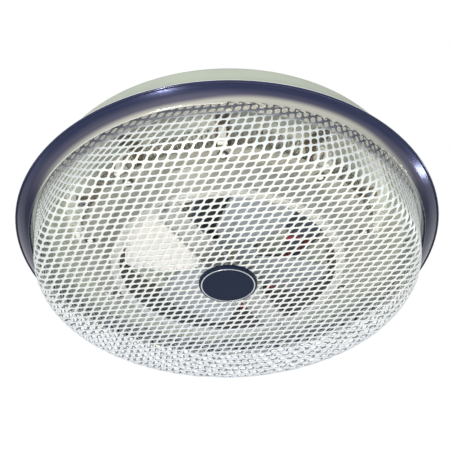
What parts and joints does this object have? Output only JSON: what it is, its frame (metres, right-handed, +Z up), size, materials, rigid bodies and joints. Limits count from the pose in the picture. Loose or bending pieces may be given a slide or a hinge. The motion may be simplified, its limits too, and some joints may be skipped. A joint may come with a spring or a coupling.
{
  "type": "ceiling mounted fan heater",
  "caption": "Low round electric fan heater that hangs under a ceiling, with a fan in a shroud, a ring of coiled heating wire and a mesh grille in a trim ring.",
  "frame": {"origin": "centre of the housing's flat back, in the plane of the ceiling", "axes": "+Z up into the ceiling, along the fan's axis; the picture's near side is -Y"},
  "size_m": [0.286, 0.286, 0.0699],
  "materials": {
    "housing_pan": "satin",
    "heat_shield": "polished",
    "shield_posts": "zinc plated",
    "element_brackets": "heat tinted",
    "bracket_screws": "zinc plated",
    "fan_shroud": "satin galvanised",
    "insulators": "white steatite",
    "push_nuts": "spring steel",
    "heating_coil": "oxidised resistance wire",
    "terminal_base": "white steatite",
    "terminal_rivet": "zinc plated",
    "terminal_posts": "satin",
    "terminal_screws": "satin",
    "stator_core": "laminated edges",
    "bobbin": "moulded nylon",
    "winding": "copper wire under woven glass tape",
    "shading_rings": "bare copper",
    "upper_bearing_bracket": "zinc plated",
    "lower_bearing_bracket": "zinc plated",
    "bearings": "satin",
    "motor_posts": "zinc plated",
    "motor_screws": "zinc plated",
    "supply_block": "moulded phenolic",
    "supply_clamps": "satin",
    "supply_screws": "zinc plated",
    "entry_bushing": "moulded nylon",
    "ground_screw": "green",
    "overheat_cutout": "satin",
    "cutout_screws": "zinc plated",
    "black_lead": "silicone sleeve",
    "red_element_lead": "silicone sleeve",
    "white_element_lead": "silicone sleeve",
    "red_motor_lead": "silicone sleeve",
    "white_motor_lead": "silicone sleeve",
    "ground_lead": "silicone sleeve",
    "grille_strap": "satin",
    "strap_screws": "zinc plated",
    "strap_nut": "zinc plated",
    "trim_ring": "bright anodised",
    "mesh_grille": "bright",
    "grille_rivets": "zinc plated",
    "badge": "gloss navy",
    "badge_stud": "zinc plated",
    "grille_spacer": "zinc plated",
    "motor_shaft": "ground",
    "rotor_core": "turned",
    "thrust_washers": "moulded nylon",
    "fan_hub": "satin",
    "fan_blades": "mill finish",
    "fan_rivets": "satin",
    "fan_set_screw": "black oxide"
  },
  "bodies": {
    "heater": {"housing_pan": "housing_pan", "heat_shield": "heat_shield", "shield_posts": "shield_posts", "element_brackets": "element_brackets", "bracket_screws": "bracket_screws", "fan_shroud": "fan_shroud", "insulators": "insulators", "push_nuts": "push_nuts", "heating_coil": "heating_coil", "terminal_base": "terminal_base", "terminal_rivet": "terminal_rivet", "terminal_posts": "terminal_posts", "terminal_screws": "terminal_screws", "stator_core": "stator_core", "bobbin": "bobbin", "winding": "winding", "shading_rings": "shading_rings", "upper_bearing_bracket": "upper_bearing_bracket", "lower_bearing_bracket": "lower_bearing_bracket", "bearings": "bearings", "motor_posts": "motor_posts", "motor_screws": "motor_screws", "supply_block": "supply_block", "supply_clamps": "supply_clamps", "supply_screws": "supply_screws", "entry_bushing": "entry_bushing", "ground_screw": "ground_screw", "overheat_cutout": "overheat_cutout", "cutout_screws": "cutout_screws", "black_lead": "black_lead", "red_element_lead": "red_element_lead", "white_element_lead": "white_element_lead", "red_motor_lead": "red_motor_lead", "white_motor_lead": "white_motor_lead", "ground_lead": "ground_lead", "grille_strap": "grille_strap", "strap_screws": "strap_screws", "strap_nut": "strap_nut", "trim_ring": "trim_ring", "mesh_grille": "mesh_grille", "grille_rivets": "grille_rivets", "badge": "badge", "badge_stud": "badge_stud", "grille_spacer": "grille_spacer"},
    "fan": {"motor_shaft": "motor_shaft", "rotor_core": "rotor_core", "thrust_washers": "thrust_washers", "fan_hub": "fan_hub", "fan_blades": "fan_blades", "fan_rivets": "fan_rivets", "fan_set_screw": "fan_set_screw"}
  },
  "joints": [
    {"name": "fan_spin", "type": "hinge", "parent": "heater", "child": "fan", "pos_m": [0, 0, -0.047], "axis": [0, 0, 1], "continuous": true}
  ]
}
